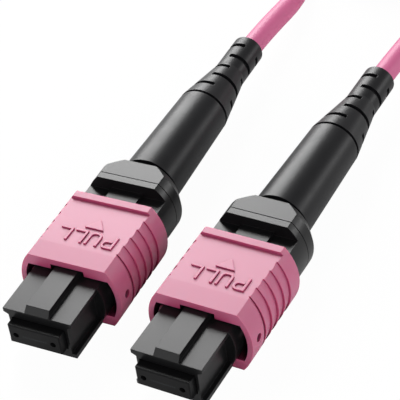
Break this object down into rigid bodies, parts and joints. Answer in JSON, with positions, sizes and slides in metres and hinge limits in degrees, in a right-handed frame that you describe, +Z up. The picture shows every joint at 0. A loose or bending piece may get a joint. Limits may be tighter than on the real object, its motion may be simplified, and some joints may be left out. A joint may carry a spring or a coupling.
{
  "type": "fibre optic patch cable",
  "caption": "Round multi-fibre patch cable with a ridged push-pull plug, floating ferrule and slotted strain relief boot at each end, its spare length coiled and tied.",
  "frame": {"origin": "middle of the underside flat on the rear collar of plug a, on the floor", "axes": "+Y from the ferrule end of plug a towards its cable, +Z up from the floor through the key side, +X from plug a to plug b"},
  "size_m": [0.0468, 0.1257, 0.008],
  "materials": {
    "black_plastic": "moulded, fine matt",
    "pink_plastic": "moulded, satin",
    "ferrule_plastic": "glass-filled, polished end face",
    "grey_plastic": "moulded",
    "soft_rubber": "soft moulded",
    "boot_rubber": "moulded, satin",
    "spring_steel": "drawn wire",
    "crimp_metal": "turned and plated",
    "ribbon_coating": "acrylate coating",
    "yarn": "woven strands",
    "pink_jacket": "extruded, satin",
    "strap": "hook and loop"
  },
  "bodies": {
    "cable": {"plug_frame_a": "black_plastic", "sleeve_springs_a": "spring_steel", "ferrule_spring_a": "spring_steel", "fibre_ribbon_a": "ribbon_coating", "spring_push_a": "black_plastic", "aramid_yarn_a": "yarn", "crimp_ring_a": "crimp_metal", "strain_relief_a": "boot_rubber", "jacket_end_a": "pink_jacket", "plug_frame_b": "black_plastic", "sleeve_springs_b": "spring_steel", "ferrule_spring_b": "spring_steel", "fibre_ribbon_b": "ribbon_coating", "spring_push_b": "black_plastic", "aramid_yarn_b": "yarn", "crimp_ring_b": "crimp_metal", "strain_relief_b": "boot_rubber", "jacket_end_b": "pink_jacket", "cable_lead_a": "pink_jacket", "cable_lead_b": "pink_jacket", "cable_coil": "pink_jacket", "coil_tie": "strap"},
    "sleeve_a": {"pull_sleeve_a": "pink_plastic"},
    "ferrule_a": {"ferrule_a": "ferrule_plastic", "ferrule_boot_a": "soft_rubber", "pin_clamp_a": "grey_plastic"},
    "sleeve_b": {"pull_sleeve_b": "pink_plastic"},
    "ferrule_b": {"ferrule_b": "ferrule_plastic", "ferrule_boot_b": "soft_rubber", "pin_clamp_b": "grey_plastic"}
  },
  "joints": [
    {"name": "sleeve_slide_a", "type": "slide", "parent": "cable", "child": "sleeve_a", "axis": [0, 1, 0], "range_m": [0, 0.0022], "stiffness_N_per_m": 1500, "springref_m": -0.001, "deforming": ["sleeve_springs_a"]},
    {"name": "ferrule_slide_a", "type": "slide", "parent": "cable", "child": "ferrule_a", "axis": [0, 1, 0], "range_m": [0, 0.0006], "stiffness_N_per_m": 3000, "springref_m": -0.0025, "deforming": ["ferrule_spring_a", "fibre_ribbon_a"]},
    {"name": "sleeve_slide_b", "type": "slide", "parent": "cable", "child": "sleeve_b", "axis": [0.0426, 0.9991, 0], "range_m": [0, 0.0022], "stiffness_N_per_m": 1500, "springref_m": -0.001, "deforming": ["sleeve_springs_b"]},
    {"name": "ferrule_slide_b", "type": "slide", "parent": "cable", "child": "ferrule_b", "axis": [0.0426, 0.9991, 0], "range_m": [0, 0.0006], "stiffness_N_per_m": 3000, "springref_m": -0.0025, "deforming": ["ferrule_spring_b", "fibre_ribbon_b"]}
  ]
}
